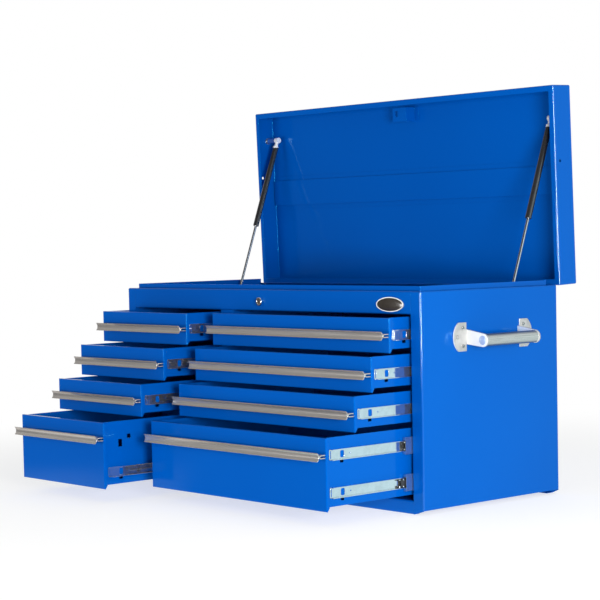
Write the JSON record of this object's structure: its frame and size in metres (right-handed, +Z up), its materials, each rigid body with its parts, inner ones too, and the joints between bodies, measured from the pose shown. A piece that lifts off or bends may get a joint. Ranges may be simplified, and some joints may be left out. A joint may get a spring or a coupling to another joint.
{
  "type": "top tool chest",
  "caption": "Steel top tool chest with two columns of slide-mounted drawers, full-width pulls, a till under a hinged lid on gas struts, a lock and side handles.",
  "frame": {"origin": "on the floor under the middle of the case, level with the lower edges that it stands on", "axes": "+X to the right of somebody facing the drawers, +Y to the back, +Z up"},
  "size_m": [1.19, 0.9017, 0.9499],
  "materials": {
    "paint": "gloss blue powder coat",
    "zinc": "bright zinc plate",
    "chrome": "polished",
    "strut_black": "satin black paint",
    "rod_steel": "hard chrome rod",
    "pull_aluminium": "satin anodised"
  },
  "bodies": {
    "case": {"left_side_panel": "paint", "right_side_panel": "paint", "back_panel": "paint", "base_pan": "paint", "top_rail": "paint", "centre_divider": "paint", "till_tray": "paint", "rear_slide_posts": "paint", "slide_case_members": "zinc", "hinge_case_leaves": "zinc", "hinge_pins": "zinc", "strut_lower_studs": "zinc", "lock_barrel": "chrome", "oval_badge": "chrome", "handle_brackets": "chrome", "handle_grips": "chrome", "handle_screws": "chrome"},
    "lid": {"lid_shell": "paint", "lid_stiffener": "paint", "lid_catch": "paint", "hinge_lid_leaves": "zinc", "strut_upper_studs": "zinc"},
    "lock": {"lock_cylinder": "chrome", "lock_cam": "chrome"},
    "left_strut_cylinder": {"left_strut_tube": "strut_black"},
    "left_strut_piston": {"left_strut_rod": "rod_steel"},
    "right_strut_cylinder": {"right_strut_tube": "strut_black"},
    "right_strut_piston": {"right_strut_rod": "rod_steel"},
    "left_drawer_one": {"left_drawer_one_box": "paint", "left_drawer_one_pull": "pull_aluminium", "left_drawer_one_slides": "zinc"},
    "left_drawer_one_middle": {"left_drawer_one_middle_slides": "zinc"},
    "left_drawer_two": {"left_drawer_two_box": "paint", "left_drawer_two_pull": "pull_aluminium", "left_drawer_two_slides": "zinc"},
    "left_drawer_two_middle": {"left_drawer_two_middle_slides": "zinc"},
    "left_drawer_three": {"left_drawer_three_box": "paint", "left_drawer_three_pull": "pull_aluminium", "left_drawer_three_slides": "zinc"},
    "left_drawer_three_middle": {"left_drawer_three_middle_slides": "zinc"},
    "left_drawer_four": {"left_drawer_four_box": "paint", "left_drawer_four_pull": "pull_aluminium", "left_drawer_four_slides": "zinc"},
    "left_drawer_four_middle": {"left_drawer_four_middle_slides": "zinc"},
    "right_drawer_one": {"right_drawer_one_box": "paint", "right_drawer_one_pull": "pull_aluminium", "right_drawer_one_slides": "zinc"},
    "right_drawer_one_middle": {"right_drawer_one_middle_slides": "zinc"},
    "right_drawer_two": {"right_drawer_two_box": "paint", "right_drawer_two_pull": "pull_aluminium", "right_drawer_two_slides": "zinc"},
    "right_drawer_two_middle": {"right_drawer_two_middle_slides": "zinc"},
    "right_drawer_three": {"right_drawer_three_box": "paint", "right_drawer_three_pull": "pull_aluminium", "right_drawer_three_slides": "zinc"},
    "right_drawer_three_middle": {"right_drawer_three_middle_slides": "zinc"},
    "right_drawer_four": {"right_drawer_four_box": "paint", "right_drawer_four_pull": "pull_aluminium", "right_drawer_four_slides": "zinc"},
    "right_drawer_four_middle": {"right_drawer_four_middle_slides": "zinc"}
  },
  "joints": [
    {"name": "lid_hinge", "type": "hinge", "parent": "case", "child": "lid", "pos_m": [0, 0.23, 0.482], "axis": [1, 0, 0], "range_deg": [0, 88]},
    {"name": "lock_turn", "type": "hinge", "parent": "case", "child": "lock", "pos_m": [0, -0.225, 0.459], "axis": [0, -1, 0], "range_deg": [0, 90]},
    {"name": "left_strut_swing", "type": "hinge", "parent": "lid", "child": "left_strut_cylinder", "pos_m": [-0.487, 0.26201, 0.87496], "axis": [1, 0, 0], "range_deg": [0, 5.96]},
    {"name": "left_strut_stroke", "type": "slide", "parent": "left_strut_cylinder", "child": "left_strut_piston", "axis": [0, -0.3427, -0.9395], "range_m": [-0.1732, 0]},
    {"name": "right_strut_swing", "type": "hinge", "parent": "lid", "child": "right_strut_cylinder", "pos_m": [0.487, 0.26201, 0.87496], "axis": [1, 0, 0], "range_deg": [0, 5.96]},
    {"name": "right_strut_stroke", "type": "slide", "parent": "right_strut_cylinder", "child": "right_strut_piston", "axis": [0, -0.3427, -0.9395], "range_m": [-0.1732, 0]},
    {"name": "left_drawer_one_travel", "type": "slide", "parent": "case", "child": "left_drawer_one", "axis": [0, -1, 0], "range_m": [-0.105, 0.295]},
    {"name": "left_drawer_one_middle_travel", "type": "slide", "parent": "case", "child": "left_drawer_one_middle", "axis": [0, -1, 0], "range_m": [-0.0527, 0.1477]},
    {"name": "left_drawer_two_travel", "type": "slide", "parent": "case", "child": "left_drawer_two", "axis": [0, -1, 0], "range_m": [-0.176, 0.224]},
    {"name": "left_drawer_two_middle_travel", "type": "slide", "parent": "case", "child": "left_drawer_two_middle", "axis": [0, -1, 0], "range_m": [-0.0882, 0.1122]},
    {"name": "left_drawer_three_travel", "type": "slide", "parent": "case", "child": "left_drawer_three", "axis": [0, -1, 0], "range_m": [-0.245, 0.155]},
    {"name": "left_drawer_three_middle_travel", "type": "slide", "parent": "case", "child": "left_drawer_three_middle", "axis": [0, -1, 0], "range_m": [-0.1227, 0.0777]},
    {"name": "left_drawer_four_travel", "type": "slide", "parent": "case", "child": "left_drawer_four", "axis": [0, -1, 0], "range_m": [-0.356, 0.044]},
    {"name": "left_drawer_four_middle_travel", "type": "slide", "parent": "case", "child": "left_drawer_four_middle", "axis": [0, -1, 0], "range_m": [-0.1782, 0.0222]},
    {"name": "right_drawer_one_travel", "type": "slide", "parent": "case", "child": "right_drawer_one", "axis": [0, -1, 0], "range_m": [-0.064, 0.336]},
    {"name": "right_drawer_one_middle_travel", "type": "slide", "parent": "case", "child": "right_drawer_one_middle", "axis": [0, -1, 0], "range_m": [-0.0322, 0.1682]},
    {"name": "right_drawer_two_travel", "type": "slide", "parent": "case", "child": "right_drawer_two", "axis": [0, -1, 0], "range_m": [-0.1195, 0.2805]},
    {"name": "right_drawer_two_middle_travel", "type": "slide", "parent": "case", "child": "right_drawer_two_middle", "axis": [0, -1, 0], "range_m": [-0.05995, 0.14045]},
    {"name": "right_drawer_three_travel", "type": "slide", "parent": "case", "child": "right_drawer_three", "axis": [0, -1, 0], "range_m": [-0.171, 0.229]},
    {"name": "right_drawer_three_middle_travel", "type": "slide", "parent": "case", "child": "right_drawer_three_middle", "axis": [0, -1, 0], "range_m": [-0.0857, 0.1147]},
    {"name": "right_drawer_four_travel", "type": "slide", "parent": "case", "child": "right_drawer_four", "axis": [0, -1, 0], "range_m": [-0.255, 0.145]},
    {"name": "right_drawer_four_middle_travel", "type": "slide", "parent": "case", "child": "right_drawer_four_middle", "axis": [0, -1, 0], "range_m": [-0.1277, 0.0727]}
  ],
  "couplings": [
    {"joint": "left_strut_swing", "follows": "lid_hinge", "ratio": 0.067111},
    {"joint": "left_strut_stroke", "follows": "lid_hinge", "m_per_rad": -0.11246},
    {"joint": "right_strut_swing", "follows": "lid_hinge", "ratio": 0.067111},
    {"joint": "right_strut_stroke", "follows": "lid_hinge", "m_per_rad": -0.11246},
    {"joint": "left_drawer_one_middle_travel", "follows": "left_drawer_one_travel", "ratio": 0.5},
    {"joint": "left_drawer_two_middle_travel", "follows": "left_drawer_two_travel", "ratio": 0.5},
    {"joint": "left_drawer_three_middle_travel", "follows": "left_drawer_three_travel", "ratio": 0.5},
    {"joint": "left_drawer_four_middle_travel", "follows": "left_drawer_four_travel", "ratio": 0.5},
    {"joint": "right_drawer_one_middle_travel", "follows": "right_drawer_one_travel", "ratio": 0.5},
    {"joint": "right_drawer_two_middle_travel", "follows": "right_drawer_two_travel", "ratio": 0.5},
    {"joint": "right_drawer_three_middle_travel", "follows": "right_drawer_three_travel", "ratio": 0.5},
    {"joint": "right_drawer_four_middle_travel", "follows": "right_drawer_four_travel", "ratio": 0.5}
  ]
}
